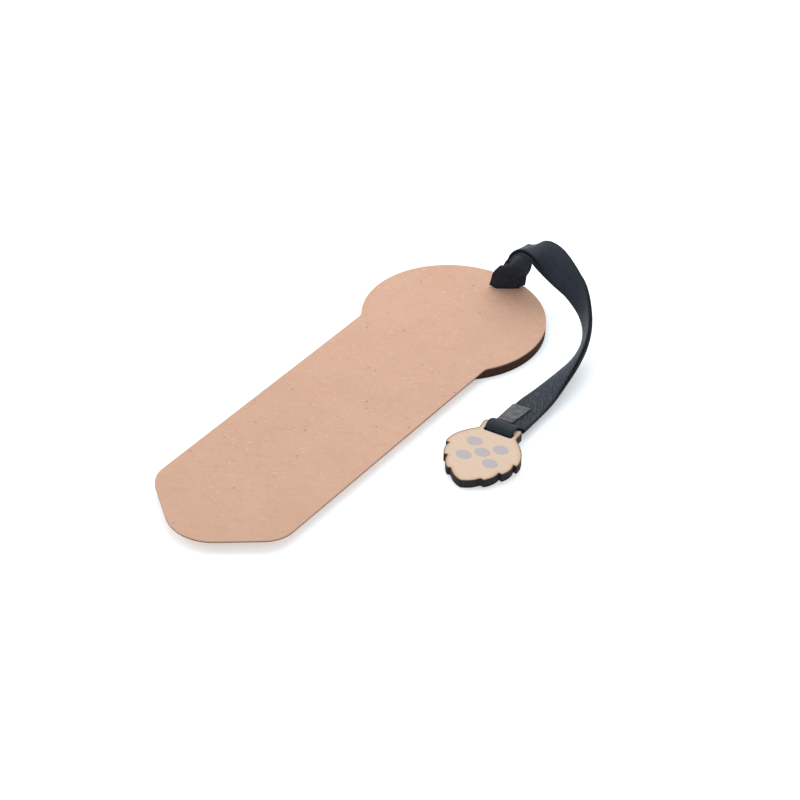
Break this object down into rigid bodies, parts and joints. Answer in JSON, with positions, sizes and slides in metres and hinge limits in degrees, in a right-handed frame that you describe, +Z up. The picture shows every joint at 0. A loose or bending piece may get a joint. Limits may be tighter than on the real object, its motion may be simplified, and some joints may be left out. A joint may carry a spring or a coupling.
{
  "type": "bookmark",
  "caption": "Keyhole-shaped kraft card bookmark on a round wooden disc, with a doubled ribbon, held in a slot near the head's rim, that carries a folded edge label and a wooden cone charm.",
  "frame": {"origin": "on the surface that the disc rests on, under the middle of the card's length", "axes": "+Y along the card towards its round head, +Z up out of the card's upper face, +X to the side where the ribbon lies"},
  "size_m": [0.0923, 0.1759, 0.0239],
  "materials": {
    "kraft_card": "matte",
    "adhesive": "matte",
    "charred_wood": "matte",
    "ribbon": "matte",
    "label": "matte",
    "charm_wood": "matte"
  },
  "bodies": {
    "bookmark": {"kraft_card": "kraft_card", "adhesive_film": "adhesive", "head_disc": "charred_wood", "ribbon_hitch": "ribbon"},
    "strap": {"ribbon_upper_layer": "ribbon", "ribbon_lower_layer": "ribbon", "ribbon_charm_loop": "ribbon", "edge_label": "label"},
    "charm": {"charm": "charm_wood"}
  },
  "joints": [
    {"name": "strap_swing", "type": "hinge", "parent": "bookmark", "child": "strap", "pos_m": [0.00416, 0.08267, 0.006], "axis": [-0.788, -0.6157, 0], "range_deg": [0, 90]},
    {"name": "charm_swing", "type": "hinge", "parent": "strap", "child": "charm", "pos_m": [0.0472, 0.01407, 0.00302], "axis": [-0.9936, -0.1132, 0], "range_deg": [0, 110]}
  ]
}
